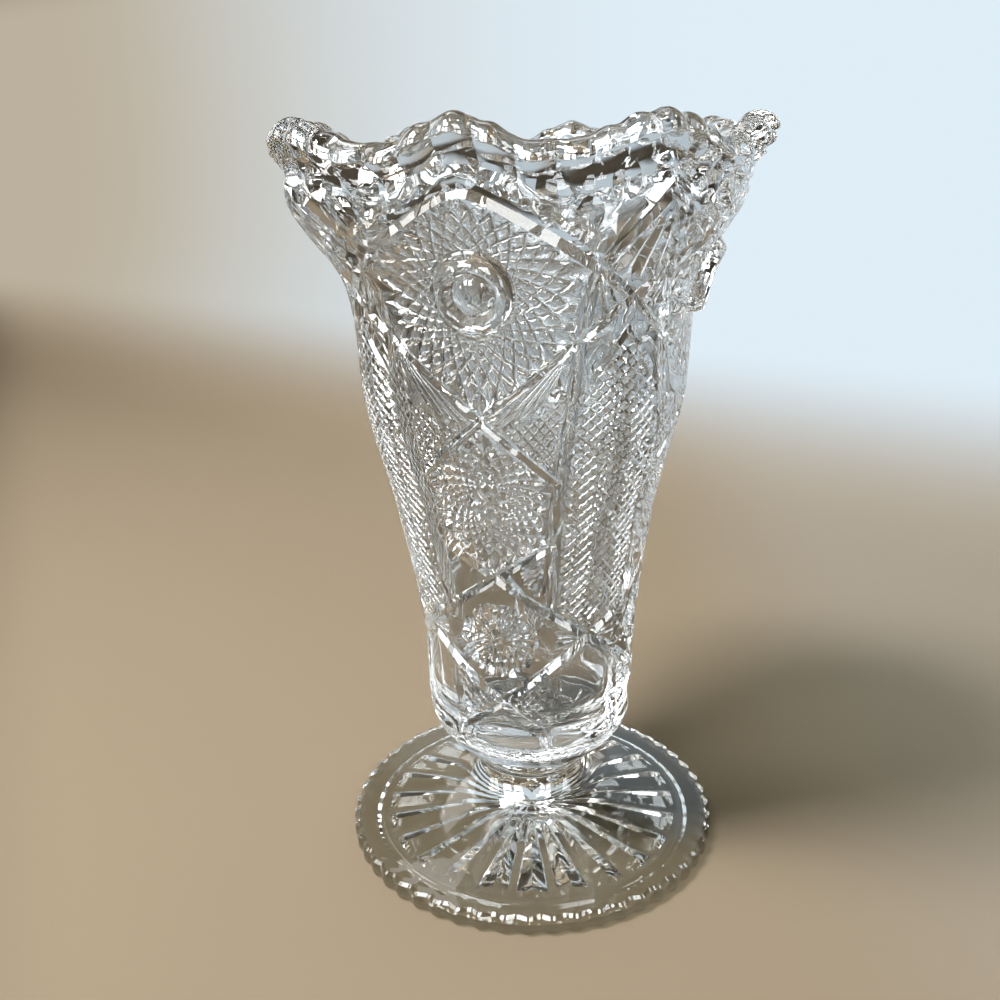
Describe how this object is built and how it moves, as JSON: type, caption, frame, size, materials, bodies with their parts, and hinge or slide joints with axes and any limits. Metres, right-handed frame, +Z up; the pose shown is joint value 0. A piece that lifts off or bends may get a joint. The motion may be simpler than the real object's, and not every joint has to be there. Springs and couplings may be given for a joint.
{
  "type": "footed glass vase",
  "caption": "Tall flared vase of clear pressed glass with a scalloped rim and cut-style panels, joined by a short stem to a round scalloped foot.",
  "frame": {"origin": "middle of the foot's underside, on the plane that the vase stands on", "axes": "+Z up the vase's axis to the rim; -Y faces the middle of one button panel; +X to the right of that panel as it is seen"},
  "size_m": [0.0914, 0.0882, 0.15],
  "materials": {
    "bowl_glass": "clear colourless pressed glass, fire-polished, with crisp cut-style relief outside and a smooth inside",
    "stem_glass": "clear colourless glass, worked hot and smooth",
    "foot_glass": "clear pressed glass with a faint grey-green cast, smooth above and rayed below"
  },
  "bodies": {
    "root": {"bowl": "bowl_glass", "stem_wafer": "stem_glass", "foot": "foot_glass"}
  },
  "joints": []
}
